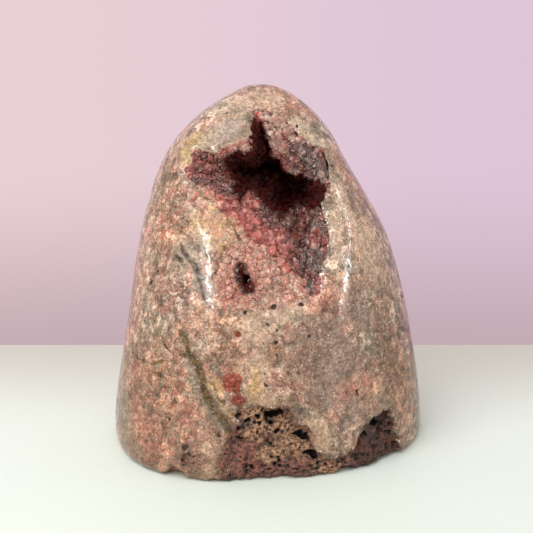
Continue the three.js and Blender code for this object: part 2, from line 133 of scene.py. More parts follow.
# Patches of each mineral, and tints of the broken rock: place across, height, half-width and half-height in
# mm, and the degrees that it is turned anticlockwise if it is.
PATCHES = {
    "rosy": {
        "front": [
            (-38, 24, 24, 26), (-36, 92, 12, 18, 10), (-16, 62, 10, 10), (33, 29, 11, 8),
            (-12, 48, 8, 12), (6, 132, 14, 5), (32, 103, 6, 14, 25), (50, 26, 8, 16), (20, 62, 9, 5),
            (37, 80, 8, 15, 12), (30, 68, 6, 6),
        ],
        "back": [(30, 40, 20, 26), (-30, 90, 14, 20)],
        "left": [(0, 50, 22, 34)],
        "right": [(6, 60, 12, 26)],
    },
    "yellow": {
        "front": [
            (-27.5, 117.5, 6.5, 5.2, 20), (-21.5, 92, 5.2, 9, 25), (-15, 84, 3, 3), (-4.6, 36, 2.6, 5.5),
            (-18.6, 35, 2, 4, 40),
        ],
        "back": [(22, 96, 9, 6, 30)],
        "left": [(6, 52, 6, 9, 15)],
    },
    "grey": {
        "front": [
            (-13.5, 121.5, 9.5, 6.5), (-14, 128, 5, 4), (11.5, 119.5, 4, 2.6, 40),
            (17.2, 114, 5.5, 2.6, 45), (21.2, 108, 2.4, 4), (-30.5, 79.5, 4, 5.5, 10),
            (-26.5, 40, 3, 6.5, 15), (-20.8, 29.5, 3.2, 7, 32), (-55, 17, 6, 12), (-53, 8, 6, 7),
            (44, 22, 5, 8),
        ],
        "back": [(-18, 44, 13, 9, 20), (20, 22, 10, 12, -20)],
        "right": [(12, 66, 8, 12)],
        "left": [(14, 84, 7, 9)],
    },
    "smoky": {
        "front": [
            (17.5, 51, 9.5, 8), (19.5, 36, 9.5, 9), (13, 43, 6, 8), (28, 45, 6, 7), (33, 60, 6, 10, 10),
        ],
        "back": [(4, 74, 13, 12)],
        "right": [(-4, 30, 9, 12)],
        "left": [(-2, 24, 8, 8)],
    },
    "cream": {
        "front": [
            (12.5, 124, 4.6, 3.2), (38, 79, 7, 13, 12), (15.5, 119.5, 3.2, 2.2), (26, 99, 3, 8, 6),
            (25, 87, 3.2, 9, -6), (-4, 56, 7, 6), (5, 61, 8, 3.6), (-4.5, 42, 6, 6), (-2, 31.5, 8, 3.4),
            (17, 16, 5.5, 7.5), (-21, 12.5, 4.6, 3.2), (-5, 133, 10, 4),
        ],
        "back": [(-14, 108, 9, 6), (28, 60, 7, 9)],
        "right": [(4, 92, 7, 6)],
    },
    "rose": {
        "front": [
            (-48.5, 35, 2.6, 6, -8), (-49.2, 25, 2.8, 5.5, -4), (-45.5, 17, 2.8, 5, 30), (-42, 11, 3, 4),
            (22.5, 22, 3.2, 3.6), (30, 30, 4.2, 3.4, 20), (-10, 80.5, 6, 3), (-3.6, 72, 3.2, 7),
            (-14.8, 70, 3, 6), (19, 66, 5, 5), (-8, 66, 6, 2.6),
        ],
        "back": [(-36, 70, 7, 10), (8, 40, 8, 5, 20)],
        "right": [(6, 84, 4, 8)],
        "left": [(-8, 70, 5, 8)],
    },
    "orange": {
        "front": [(1.8, 49, 2, 7), (-12.5, 88, 4.6, 3, 35), (-7, 82.5, 5, 2.6, 35), (-30, 56, 5, 3)],
        "back": [(-2, 96, 5, 3), (34, 34, 4, 6)],
    },
    "rust": {
        "front": [
            (43, 53, 4.6, 11), (44, 40, 4.4, 9), (38.5, 37, 3.4, 6), (36, 96, 1.8, 6, 35),
            (41, 89.5, 2, 6, 35), (-37, 106, 6, 1.6), (-31.5, 9, 3.4, 5), (-26.5, 6, 4, 4),
            (36, 24, 3, 5, -20),
        ],
        "back": [(-8, 20, 12, 3, 15), (30, 80, 3, 12, 20)],
        "right": [(16, 24, 4, 9)],
    },
    "jasper": {
        "front": [
            (-13.2, 37, 3.1, 3.7), (-10, 30.6, 3.1, 2, 10), (-11.4, 33.6, 1.2, 2.4, 20),
            (-11.2, 53.2, 1.3, 1.4), (-6.4, 11.6, 2.3, 2.3, 20), (13.4, 12.4, 1.2, 0.9, 20),
            (11.3, 39, 0.8, 0.8),
        ],
        "back": [(16, 48, 2.6, 3.4, 20), (-22, 84, 1.6, 1.6)],
    },
    "buff": {
        "front": [
            (4, 19.5, 5, 4), (9, 14, 6, 4), (-4, 19, 4, 5), (-6, 25.5, 5, 2.4), (12, 9, 3, 3),
            (24, 3, 7, 2.4), (2, 10, 5, 2.5),
        ],
    },
    "maroon": {
        "front": [(-9.5, 9, 5, 7), (-11.5, 18, 2.6, 6), (2, 4, 14, 3.4), (-16.6, 5.5, 3.4, 3)],
    },
}

# Where the mouths of the caves are painted near black, as painted shade, in the same way.
CAVE_DARK = {
    "front": [
        (1.6, 23.6, 3.4, 2.2, -8), (11.4, 15.8, 3.2, 1.9, -25), (15.4, 8.4, 3.2, 1.3, -10),
        (39.8, 16.6, 2, 2), (5, 21.6, 1.4, 1, -40), (-11, 24.6, 1.4, 1), (36.5, 12.5, 1.2, 1.6),
        (43, 14.5, 1.3, 1),
    ],
}

# Veins: side, then points along the vein with the half-width there in mm.
VEINS = {
    "olive_vein": [
        ("front", [
            (-30.6, 53.5, 1.1), (-30, 51, 1.3), (-29, 48, 0.8), (-27.4, 45.3, 1.3), (-24.8, 42, 1.8),
            (-23.6, 39, 1.4), (-23.4, 35, 1), (-22.6, 32, 1.3), (-19.6, 28, 1.6), (-17, 25, 1.1),
            (-14.6, 22.5, 1.7), (-13.4, 18, 1)]),
        ("front", [
            (-39.5, 52, 0.2), (-37.4, 49, 0.5), (-34.5, 46.6, 0.3), (-31.5, 45.4, 0.5), (-28, 45, 0.5)]),
        ("front", [
            (-50.3, 41.2, 0.3), (-47.5, 41, 0.5), (-44.6, 41.4, 0.3), (-40.6, 41.6, 0.6),
            (-36, 42.6, 0.2)]),
        ("front", [(-43, 38.6, 0.3), (-40.8, 38.4, 0.6), (-38.4, 36.8, 0.7), (-36.4, 36.4, 0.3)]),
        ("front", [
            (-20.4, 36.6, 0.3), (-18.6, 34, 0.6), (-17.4, 31, 0.4), (-15.4, 28.6, 0.5),
            (-12.6, 24.5, 0.4)]),
        ("back", [
            (-34, 67, 0.3), (-26, 60, 0.9), (-17, 57, 1.3), (-6, 51, 1), (4, 48, 1.5), (13, 39, 0.9),
            (18, 29, 0.3)]),
        ("right", [(-14, 48, 0.5), (-4, 44, 1.3), (8, 47, 0.9), (18, 40, 0.6)]),
    ],
    "dark_vein": [
        ("front", [
            (-31.6, 83.6, 0.5), (-30.2, 81.6, 1.2), (-28.4, 79.2, 1), (-26.8, 77, 1.3),
            (-25.2, 74.6, 1.1), (-24, 71.5, 0.9), (-22.8, 67.5, 0.6), (-22, 63.5, 0.3)]),
        ("front", [(-33.6, 79.6, 0.4), (-32, 78.6, 0.9), (-30.5, 77.6, 0.4)]),
        ("front", [
            (9.5, 122.5, 0.3), (12.7, 119, 0.5), (15.7, 116.8, 0.8), (19.9, 113, 0.9), (22, 109.5, 0.7),
            (22.6, 104.5, 0.4)]),
        ("front", [(-20, 28, 0.2), (-16, 24.6, 0.4), (-12, 19.5, 0.2)]),
        ("back", [(24, 112, 0.4), (14, 104, 0.9), (2, 106, 0.7), (-10, 98, 0.5)]),
        ("left", [(-12, 92, 0.3), (-2, 84, 0.8), (8, 66, 0.7), (12, 58, 0.4)]),
    ],
    "grey_vein": [
        ("front", [
            (-29.6, 46, 1.5), (-27, 42, 2.6), (-25.6, 37, 2.4), (-24.6, 32, 2.6), (-21.8, 27.5, 2.8),
            (-18.4, 24, 2.6), (-16, 20, 1.8)]),
        ("front", [(-21.4, 37, 1.2), (-20, 33, 1.6), (-17, 28.6, 1.6)]),
        ("front", [(-27.5, 78, 1), (-24.6, 72, 2), (-22.4, 66, 1.2)]),
        ("front", [(47.5, 76, 0.8), (49, 62, 1.5), (52, 44, 1.4), (53.5, 26, 1)]),
        ("back", [
            (-34, 68, 1), (-26, 62, 2), (-17, 59, 3), (-6, 53, 2.4), (5, 49, 3), (14, 38, 2), (19, 28, 1)]),
    ],
}


def pick(piece):
    """Makes a piece the only one that operators act on."""
    bpy.ops.object.select_all(action="DESELECT")
    piece.select_set(True)
    bpy.context.view_layer.objects.active = piece


def edit(*steps):
    """Does steps in edit mode, each an operator and its settings."""
    bpy.ops.object.mode_set(mode="EDIT")
    for operator, settings in steps:
        operator(**settings)
    bpy.ops.object.mode_set(mode="OBJECT")


def copy_of_node(node_name, piece_name):
    """A new piece with a CAD node's shape, its corners merged and nothing assigned."""
    piece = bpy.data.objects.new(piece_name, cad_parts[node_name].data.copy())
    piece.data.materials.clear()
    bpy.context.collection.objects.link(piece)
    pick(piece)
    edit((bpy.ops.mesh.select_all, {"action": "SELECT"}),
         (bpy.ops.mesh.remove_doubles, {"threshold": WELD * MM}))
    return piece


def corners_of(piece, what="co"):
    """A row of three numbers for each corner: its place, or what else is asked for."""
    flat = np.empty(len(piece.data.vertices) * 3)
    piece.data.vertices.foreach_get(what, flat)
    return flat.reshape(-1, 3)


def points_of(piece):
    """The piece's corners in mm, a row each."""
    return corners_of(piece) / MM


def store(piece, name, values):
    """Keeps one number for each corner, for the material to read."""
    kept = piece.data.attributes.new(name, "FLOAT", "POINT")
    kept.data.foreach_set("value", np.asarray(values, np.float32))


def apply_modifier(piece, kind, **settings):
    """Adds one modifier to the piece with its settings and applies it."""
    pick(piece)
    modifier = piece.modifiers.new(kind.lower(), kind)
    for name, value in settings.items():
        setattr(modifier, name, value)
    bpy.ops.object.modifier_apply(modifier=modifier.name)


def sharp_places(piece, least_angle, step):
    """Places in mm along every edge of the piece that turns by more than an angle."""
    shape = bmesh.new()
    shape.from_mesh(piece.data)
    places = []
    for edge in shape.edges:
        if edge.calc_face_angle(0) < least_angle:
            continue
        first, last = (corner.co / MM for corner in edge.verts)
        count = int((last - first).length / step) + 1
        places += [first.lerp(last, i / count) for i in range(count + 1)]
    shape.free()
    return places


def distance_to(places, points):
    """How far each point lies from the nearest of some places, in mm."""
    tree = kdtree.KDTree(len(places))
    for number, place in enumerate(places):
        tree.insert(place, number)
    tree.balance()
    return np.array([tree.find(point)[2] for point in points])


def ramp(values, low, high):
    """0 below the low value, 1 above the high one, and a smooth step between."""
    share = np.clip((values - low) / (high - low), 0, 1)
    return share * share * (3 - 2 * share)


def strayed(points, *layers):
    """Points shifted smoothly and irregularly, by layers: where the noise starts, the size of its waves and
    the amount, in mm."""
    moved = points
    for start, size, amount in layers:
        shifts = [noise.noise_vector(Vector(point / size)) for point in points + start]
        moved = moved + amount * np.array(shifts)
    return moved


def relief(points, level, *layers):
    """A level with smooth noise added to it, by layers in the same way."""
    for start, size, height in layers:
        level = level + height * np.array([noise.noise(Vector(point / size)) for point in points + start])
    return level


def to_cells(points, mask, bend_size, bend, cell_size):
    """For the corners under a mask, how far the two nearest middles of irregular cells are, in cells."""
    near, far = np.ones(len(points)), np.ones(len(points))
    for number in np.flatnonzero(mask > MASK_STARTS):
        place = Vector(points[number]) + noise.noise_vector(Vector(points[number] / bend_size)) * bend
        near[number], far[number] = noise.voronoi(place / cell_size)[0][:2]
    return near, far


def inside_by(points, outline):
    """How far each point lies inside an outline seen from the front, in mm, less than 0 outside."""
    x, z = points[:, 0], points[:, 2]
    nearest = np.full(len(points), 1e9)
    crossings = np.zeros(len(points), int)
    for (x0, z0), (x1, z1) in zip(outline, outline[1:] + outline[:1]):
        along = ((x - x0) * (x1 - x0) + (z - z0) * (z1 - z0)) / ((x1 - x0) ** 2 + (z1 - z0) ** 2)
        along = np.clip(along, 0, 1)
        nearest = np.minimum(nearest, np.hypot(x - x0 - along * (x1 - x0), z - z0 - along * (z1 - z0)))
        if z0 != z1:
            crossings += ((z0 > z) != (z1 > z)) & (x < x0 + (z - z0) * (x1 - x0) / (z1 - z0))
    return np.where(crossings % 2 == 1, nearest, -nearest)


def front_only(points, outline):
    """How far inside an outline the corners on the front lie, and far outside it for all the others."""
    return np.where(points[:, 1] < 0, inside_by(points, outline), FAR_OUTSIDE)


def tree_of(meshes):
    """A search tree over the faces of some meshes."""
    corners, faces = [], []
    for mesh in meshes:
        faces += [[len(corners) + corner for corner in face.vertices] for face in mesh.polygons]
        corners += [corner.co for corner in mesh.vertices]
    return bvhtree.BVHTree.FromPolygons(corners, faces)


def cut_finer(piece, chosen, cuts):
    """Cuts every face whose corners are all chosen into smaller ones."""
    edit((bpy.ops.mesh.select_mode, {"type": "FACE"}), (bpy.ops.mesh.select_all, {"action": "DESELECT"}))
    for face in piece.data.polygons:
        face.select = all(chosen[corner] for corner in face.vertices)
    edit((bpy.ops.mesh.subdivide, {"number_cuts": cuts}))


stone = copy_of_node("geode_stone", "polished_stone")
cut_edges = sharp_places(stone, CUT_EDGE, 0.8)
apply_modifier(stone, "REMESH", mode="VOXEL", voxel_size=MESH_STEP * MM)

points = points_of(stone)
free_to_smooth = ramp(distance_to(cut_edges, points), *EDGE_KEEPS) * ramp(points[:, 2], *FOOT_KEEPS)
group = stone.vertex_groups.new(name="skin")
for number, weight in enumerate(free_to_smooth):
    group.add([number], weight, "REPLACE")
apply_modifier(stone, "SMOOTH", factor=0.5, iterations=SMOOTH_ROUNDS, vertex_group="skin")

crusts = tree_of([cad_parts[name].data for name in CRUST_NODES])


def wall_of(points):
    """Which corners lie on the wall behind a crust, out of sight."""
    within = np.zeros(len(points), bool)
    for box in [points_of(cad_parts[name]) for name in CRUST_NODES]:
        within |= np.all((points > box.min(0) - CRUST_NEAR) & (points < box.max(0) + CRUST_NEAR), axis=1)
    for number in np.flatnonzero(within):
        within[number] = crusts.find_nearest(Vector(points[number] * MM), CRUST_NEAR * MM)[0] is not None
    return within


# The mesh is cut finer where the stone is broken, chipped, lumpy, veined or pitted.
points = points_of(stone)
wall = wall_of(points)
on_rim = ~wall & (distance_to([Vector(point) for point in points[wall]], points) < RIM_WIDTH)
lumpy = (front_only(points, LUMPY_BAND) > -1) & ~wall
rough = (front_only(points, BROKEN_EDGE) > -1.5) | (front_only(points, WEATHERED_EDGE) > 0)
cut_finer(stone, rough | on_rim | lumpy, FINE_CUTS)
points = points_of(stone)
veined = np.max([front_only(points, part) for part in VEINED_PARTS], axis=0) > 0
for across, height, radius in PITS["front"]:
    apart = np.hypot(points[:, 0] - across, points[:, 2] - height)
    veined |= (apart < radius + PIT_MARGIN) & (points[:, 1] < 0)
cut_finer(stone, veined & ~wall_of(points), 1)

# Broken rock is a mass of ridges with holes between them.
points = points_of(stone)
normals = corners_of(stone, "normal")
inside_break = front_only(strayed(points, (0, 4, 1.3)), BROKEN_EDGE)
broken = ramp(inside_break, -0.3, 0.9) * ramp(normals[:, 2], -0.9, -0.4) * ramp(points[:, 2], 0.2, 1.2)
near_hole, _ = to_cells(points, broken, 1.5, 0.6, HOLE_SIZE)
holes = broken * (1 - ramp(near_hole, 0.25, 0.6)) * ramp(relief(points, 0, (0, 5, 1)), -0.5, 0.2)
ridges = relief(points, 0, (0, 6, 0.9), (40, 2.4, 0.7), (80, 1.1, 0.35)) - BREAK_DEPTH
shift = broken * ridges - HOLE_DEPTH * holes
chipped = ramp(inside_break, -2.4, -0.4) * (1 - broken)
shift -= chipped * relief(points, 0.35, (5, 2.4, 1.0), (28, 1.2, 0.7))

# Weathered skin has small pits of its own.
weathered = ramp(front_only(strayed(points, (70, 4, 1.5)), WEATHERED_EDGE), 0, 3) * (1 - broken)
near_small, _ = to_cells(points, weathered, 1.5, 0.5, SMALL_HOLE_SIZE)
near_hole = np.where(weathered > MASK_STARTS, near_small, near_hole)
small_holes = weathered * (1 - ramp(near_hole, 0.2, 0.5)) * ramp(relief(points, 0, (90, 4, 1)), -0.1, 0.4)
uneven = relief(points, 0, (35, 2.5, 0.5), (45, 1.1, 0.3)) - 0.2
shift += weathered * uneven - SMALL_HOLE_DEPTH * small_holes
holes = np.maximum(holes, SMALL_HOLE_DEPTH * small_holes)

# The lumpy band is sunk a little, and rounded lumps stand up from it.
wall = wall_of(points)
inside_band = np.where(wall, FAR_OUTSIDE, front_only(strayed(points, (20, 5, 1.5)), LUMPY_BAND))
band = ramp(inside_band, 0, 3)
near_lump, next_lump = to_cells(points, band, 2, 0.5, LUMP_WIDTH)
lump_top = np.minimum(1, (next_lump - near_lump) * 2.2)
unlike = ramp(relief(points, 0, (65, 6, 1)), -0.3, 0.3)
lumpiness = relief(points, LUMP_RISE * unlike * (np.sqrt(lump_top) - 0.8), (60, 3.4, 1.2), (0, 1.3, 0.6))
shift += band * (lumpiness - BAND_DEPTH)

# The rims are chipped.
to_wall = distance_to([Vector(point) for point in points[wall]], points)
rim = np.where(wall, 0, 1 - ramp(to_wall, 0.3, RIM_WIDTH))
shift -= rim * (1 - band) * relief(points, 0.5, (0, 3.2, 0.9), (25, 1.3, 0.8))
points += normals * shift[:, None]


def seen_on(tree, side, across, height):
    """The place at which a point seen from one side lies on a shape, and the directions out and right."""
    away = {"front": (0, -1, 0), "back": (0, 1, 0), "left": (-1, 0, 0), "right": (1, 0, 0)}[side]
    start = Vector((across, 0, height)) if side in ("front", "back") else Vector((0, across, height))
    start += Vector(away) * WELL_AWAY
    place, outwards, _, _ = tree.ray_cast(start * MM, -Vector(away))
    outwards = Vector((outwards.x, outwards.y, 0)).normalized() if place else Vector(away)
    place = place / MM if place else start
    return np.array(place), np.array(outwards), np.array(Vector((0, 0, 1)).cross(outwards))


skin = tree_of([stone.data])
pitted = np.zeros(len(points))
fringed = strayed(points, (10, 1.4, 0.55), (15, 4, 0.6))
for side, pits in PITS.items():
    for across, height, radius in pits:
        place, outwards, _ = seen_on(skin, side, across, height)
        depth = 1 - ramp(np.linalg.norm(fringed - place, axis=1) / radius, 0.4, 1.3)
        pitted = np.maximum(pitted, depth)
        points -= (depth * min(radius, DEEPEST_PIT))[:, None] * outwards
points[:, 2] = np.maximum(points[:, 2], 0)
stone.data.vertices.foreach_set("co", (points * MM).ravel())
stone.data.update()


def patch_level(points, patches, tree=None):
    """1 in the middle of the nearest patch, 0 on its edge and less outside. Without a shape for the patches
    to lie on, they are seen from straight in front and go through its whole depth."""
    level = np.full(len(points), LEAST_LEVEL)
    for side, rows in patches.items():
        for across, height, half_width, half_height, *turned in rows:
            if tree is None:
                u, v, deep = points[:, 0] - across, points[:, 2] - height, 0
            else:
                place, outwards, rightwards = seen_on(tree, side, across, height)
                u, v = (points - place) @ rightwards, (points - place)[:, 2]
                deep = ((points - place) @ outwards) / (2 * max(half_width, half_height))
            turn = math.radians(turned[0] if turned else 0)
            c, s = math.cos(turn), math.sin(turn)
            reach = ((u * c + v * s) / half_width) ** 2 + ((v * c - u * s) / half_height) ** 2 + deep ** 2
            level = np.maximum(level, 1 - np.sqrt(reach))
    return level


def vein_level(points, veins, tree):
    """1 along the middle of the nearest vein, 0 on its edge and less outside."""
    level = np.full(len(points), LEAST_LEVEL)
    for side, route in veins:
        route = [(seen_on(tree, side, *place)[0], half_width) for *place, half_width in route]
        for (first, wide_first), (last, wide_last) in zip(route, route[1:]):
            along = np.clip((points - first) @ (last - first) / ((last - first) @ (last - first)), 0, 1)
            apart = np.linalg.norm(points - first - along[:, None] * (last - first), axis=1)
            level = np.maximum(level, 1 - apart / (wide_first + along * (wide_last - wide_first)))
    return level


# Wide patches wander far from their drawn edges, and thin veins and jasper stray less.
wandering = strayed(points, (0, 9, 2.2), (30, 3.2, 1.0))
straying = strayed(points, (0, 6, 1.3), (50, 2, 0.8))
for name, patches in PATCHES.items():
    store(stone, name, patch_level(straying if name == "jasper" else wandering, patches, skin))
for name, veins in VEINS.items():
    store(stone, name, vein_level(wandering if name == "grey_vein" else straying, veins, skin))
in_caves = patch_level(strayed(points, (0, 6, 1.3), (50, 2, 0.8), (55, 1.3, 0.7)), CAVE_DARK, skin)
# The caves and the deepest holes are painted near black: painted shade.
store(stone, "cave", np.maximum(in_caves, holes * 1.4 - 0.9))
store(stone, "inside_break", inside_break)
store(stone, "holes", np.maximum(holes, pitted))
store(stone, "band", band)
store(stone, "weathered", weathered)

stone.data.shade_smooth()
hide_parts("geode_stone")
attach(stone, "root")

# Quartz and chalcedony take a glassy polish: light comes back from a clear skin over fine grains.
# The broken rock is dull, and its holes and caves are painted dark brown to black: painted shade.

QUARTZ_IOR = 1.544


def linear(colour):
    """A linear colour from an sRGB hex value."""
    parts = [int(colour[i:i + 2], 16) / 255 for i in (1, 3, 5)]
    return [p / 12.92 if p <= 0.04045 else ((p + 0.055) / 1.055) ** 2.4 for p in parts] + [1]


def new_material(name):
    """An empty node material and its tree."""
    material = bpy.data.materials.new(name)
    material.use_nodes = True
    material.node_tree.nodes.clear()
    return material, material.node_tree


def add(tree, kind, inputs=(), **settings):
    """Adds a node with its settings and inputs, these in order or by number or name: a value, an sRGB hex
    colour, or another node's output. Gives back its outputs."""
    node = tree.nodes.new("ShaderNode" + kind)
    for name, value in settings.items():
        setattr(node, name, value)
    for socket, value in (inputs if isinstance(inputs, dict) else dict(enumerate(inputs))).items():
        if isinstance(value, bpy.types.NodeSocket):
            tree.links.new(value, node.inputs[socket])
        else:
            node.inputs[socket].default_value = linear(value) if isinstance(value, str) else value
    return node.outputs


def millimetres(tree):
    """Places on the piece in mm."""
    return add(tree, "Mapping", {"Vector": add(tree, "TexCoord")["Object"], "Scale": (1 / MM,) * 3})[0]


def total(tree, start, *terms):
    """A value to which fields are added, each by its weight."""
    for field, weight in terms:
        start = add(tree, "Math", (field, weight, start), operation="MULTIPLY_ADD")[0]
    return start


def product(tree, *factors):
    """Fields and values multiplied. One given as (field, low, high) counts as a smooth step, from 0 at the
    low value to 1 at the high one."""
    result = None
    for factor in factors:
        if isinstance(factor, tuple):
            factor = add(tree, "MapRange", factor, interpolation_type="SMOOTHSTEP")[0]
        result = factor if result is None else add(tree, "Math", (result, factor), operation="MULTIPLY")[0]
    return result


def paint(tree, colour, *coats, way="MIX"):
    """A colour with coats over it: each is the factors of its share, and then its own colour."""
    for *factors, over in coats:
        inputs = {0: product(tree, *factors), 6: colour, 7: over}
        colour = add(tree, "Mix", inputs, data_type="RGBA", blend_type=way)[2]
    return colour


def dress(piece, material, inputs):
    """Gives a piece a material, whose surface has these inputs."""
    surface = add(material.node_tree, "BsdfPrincipled", inputs)[0]
    add(material.node_tree, "OutputMaterial", {"Surface": surface})
    piece.data.materials.append(material)


polish, tree = new_material("polished_pink_quartz")
place = millimetres(tree)
along_x, _, along_z = add(tree, "SeparateXYZ", (place,))
stored = {name: add(tree, "Attribute", attribute_name=name)["Fac"]
          for name in (*PATCHES, *VEINS, "cave", "inside_break", "holes", "band", "weathered")}

# Noise by the size of its grains in mm, its detail and its roughness. The finest real grains are well
# under half a millimetre across, and are drawn at 0.6 mm, as coarse as they need to be to show.
cloud, mottle, speck, dust, patchy, blotch, web, ochre, tuft, bank, wear, scratch = (
    add(tree, "TexNoise", {"Vector": place, "Scale": 1 / size, "Detail": detail, "Roughness": roughness})[0]
    for size, detail, roughness in (
        (13, 3, 0.5), (4.2, 4, 0.6), (1.3, 5, 0.7), (0.6, 3, 0.7), (2.8, 4, 0.65), (3.0, 4, 0.65),
        (2.1, 5, 0.65), (6, 2, 0.5), (4, 3, 0.5), (11, 2, 0.5), (5, 2, 0.5), (0.9, 3, 0.6)))
# Cells by their size in mm: the distance from each one's middle, and three numbers that are its own.
cells = [add(tree, "TexVoronoi", {"Vector": place, "Scale": 1 / size})
         for size in (0.6, 1.7, 2.4, 1.4, 1.3)]
_, red_spot, spot, fleck, bubble = (made["Distance"] for made in cells)
kind, red_kind, spot_kind, fleck_kind = (
    add(tree, "SeparateColor", (made["Color"],)) for made in cells[:4])

ragged = total(tree, -1.25, (mottle, 1.3), (speck, 1.2))
fine_ragged = total(tree, -1.0, (speck, 2.0))
vein_ragged = total(tree, 0.2, (fine_ragged, 1))


def lay(colour, *minerals):
    """Lays minerals over the stone's colour. Each has its name, a dark and a light tint, what makes its
    edge ragged, how soft that edge is, and how much it covers."""
    for name, dark, light, roughen, soft, cover in minerals:
        level = total(tree, roughen, (stored[name], 1))
        tint = paint(tree, dark, ((speck, 0.4, 0.6), light))
        colour = paint(tree, colour, ((level, -soft, soft), cover, tint))
    return colour


# The mass of the stone is grey-beige quartz; where it is rosy, red veinlets net cream and pink grains.
rosy = product(tree, (total(tree, ragged, (stored["rosy"], 1)), -0.5, 0.5))
plain = paint(tree, "#8f7f6c", ((cloud, 0.42, 0.58), "#ad7c6c"), ((mottle, 0.5, 0.56), "#765c4e"),
              ((patchy, 0.52, 0.57), "#c9ab97"))
pink = paint(tree, "#ab6957", ((mottle, 0.42, 0.56), "#98856d"), ((patchy, 0.46, 0.4), "#7a5b4a"),
             ((blotch, 0.5, 0.58), "#cda289"))
from_thread = add(tree, "Math", (total(tree, -0.5, (web, 1)),), operation="ABSOLUTE")[0]
veinlet = product(tree, (from_thread, 0.05, 0.012), (mottle, 0.46, 0.58), total(tree, 0.15, (rosy, 0.6)))
colour = paint(tree, plain, (rosy, pink), (veinlet, "#7c3628"))
colour = lay(
    colour,
    ("cream", "#b08d76", "#d6baa3", ragged, 0.35, 0.75),
    ("smoky", "#785c4f", "#9f7f70", ragged, 0.25, 0.9),
    ("rose", "#94503f", "#b97e6c", ragged, 0.5, 0.6),
    ("orange", "#a56746", "#c99572", ragged, 0.5, 0.6),
    ("rust", "#664b3b", "#8f6f5b", ragged, 0.4, 0.75))

# The grains differ: cream, red and brown ones lie thicker in some places than in others.
thick = product(tree, (patchy, 0.42, 0.58))
colour = paint(
    tree, colour,
    ((kind[0], 0.6, 0.95), total(tree, 0.08, (thick, 0.26)), "#e2cdb9"),
    ((kind[1], 0.6, 0.9), total(tree, 0.06, (rosy, 0.22)), (mottle, 0.42, 0.56), "#9a4c3b"),
    ((kind[2], 0.7, 0.95), total(tree, 0.32, (thick, -0.2)), "#5f4435"))
colour = lay(
    colour,
    ("grey", "#7a6856", "#a8937e", ragged, 0.5, 0.72),
    ("grey_vein", "#756757", "#a1907a", ragged, 0.5, 0.7),
    ("yellow", "#a68158", "#cfab78", ragged, 0.4, 0.82),
    ("dark_vein", "#382a22", "#665548", vein_ragged, 0.5, 0.95),
    ("olive_vein", "#412c0e", "#745a30", vein_ragged, 0.5, 1.0),
    ("jasper", "#6c2313", "#8f4128", total(tree, 0.0, (fine_ragged, 0.9)), 0.2, 1.0))

# The lumpy band is fresh pink crystal, darker between the lumps. The foot is painted darker and browner:
# painted shade.
crystal = paint(tree, "#ab6555", ((mottle, 0.42, 0.6), "#c98e79"), ((ochre, 0.52, 0.62), "#bf8f66"),
                ((patchy, 0.52, 0.6), "#dab39b"))
colour = paint(tree, colour, (stored["band"], 0.6, crystal))
# Painted shade: the colour darkens and browns from 75 mm above the base down to 20 mm.
colour = paint(tree, colour, ((along_z, 75, 20), "#e9e0d6"), way="MULTIPLY")

# Dust, grains and clouds each have their own brightness, which is calmer where a pale mineral lies.
brightness = product(tree, *(total(tree, least, (field, gain)) for field, gain, least in (
    (dust, 2.4, -0.2), (kind[1], 0.6, 0.7), (speck, 1.2, 0.4), (tuft, 1.8, 0.1), (bank, 1.6, 0.2))))
calm = stored["cream"]
for name in ("yellow", "grey", "smoky"):
    calm = add(tree, "Math", (calm, stored[name]), operation="MAXIMUM")[0]
calm = product(tree, (total(tree, ragged, (calm, 1)), -0.3, 0.4), 0.4)
brightness = total(tree, brightness, (total(tree, 1.0, (brightness, -1)), calm))
colour = paint(tree, colour, (1.0, brightness), way="MULTIPLY")

# Red and dark specks and pale flecks lie among the grains.
is_red = add(tree, "Math", (red_kind[0], total(tree, 0.9, (rosy, -0.22))), operation="GREATER_THAN")[0]
pore = product(tree, (total(tree, spot, (speck, 0.4)), 0.38, 0.28), (spot_kind[1], 0.8, 0.84))
paleness = total(tree, 0.45, (product(tree, (stored["smoky"], -0.2, 0.3)), 0.25))
colour = paint(
    tree, colour,
    ((total(tree, red_spot, (speck, 0.5)), 0.5, 0.36), is_red, 0.85, "#7d2e22"),
    (pore, 0.8, "#41241a"),
    ((fleck, 0.3, 0.12), (fleck_kind[2], 0.82, 0.9), paleness, "#e0cebc"))

# The broken rock is brown, with buff and maroon in it, and darker on the right.
break_level = total(tree, -8.0, (mottle, 9.0), (speck, 7.0), (stored["weathered"], 2.2),
                    (stored["inside_break"], 1))
broken_part = product(tree, (break_level, -0.6, 0.6))
rock = paint(tree, "#4a2917", ((mottle, 0.42, 0.6), "#7a4a33"))
rock = lay(
    rock,
    ("maroon", "#552a21", "#8d5043", ragged, 0.5, 0.85),
    ("buff", "#815a3f", "#ca9b75", ragged, 0.5, 0.82))
rock = paint(
    tree, rock,
    ((patchy, 0.56, 0.64), 0.35, "#b0694a"),
    ((speck, 0.48, 0.38), 0.75, "#331c11"),
    ((kind[0], 0.75, 0.95), 0.25, "#c28a66"))
rock = paint(tree, rock, (1.0, total(tree, 0.0, (dust, 2.0))), way="MULTIPLY")
tiny_hole = product(tree, (bubble, 0.4, 0.18), (patchy, 0.44, 0.56))
# Tiny holes are painted near black: painted shade in them.
rock = paint(tree, rock, (tiny_hole, "#22110b"))
rock = paint(tree, rock, ((along_x, 22, 34), "#c29e90"), way="MULTIPLY")
# Holes and pits are painted dark brown, and caves and the deepest holes near black: painted shade.
hole = product(tree, (stored["holes"], 0.2, 0.9))
colour = paint(
    tree, colour,
    (broken_part, rock),
    (hole, "#3a1f14"),
    ((total(tree, stored["cave"], (fine_ragged, 0.5)), -0.1, 0.35), "#0a0503"),
    (stored["weathered"], (patchy, 0.5, 0.58), 0.5, "#6d4a2e"))

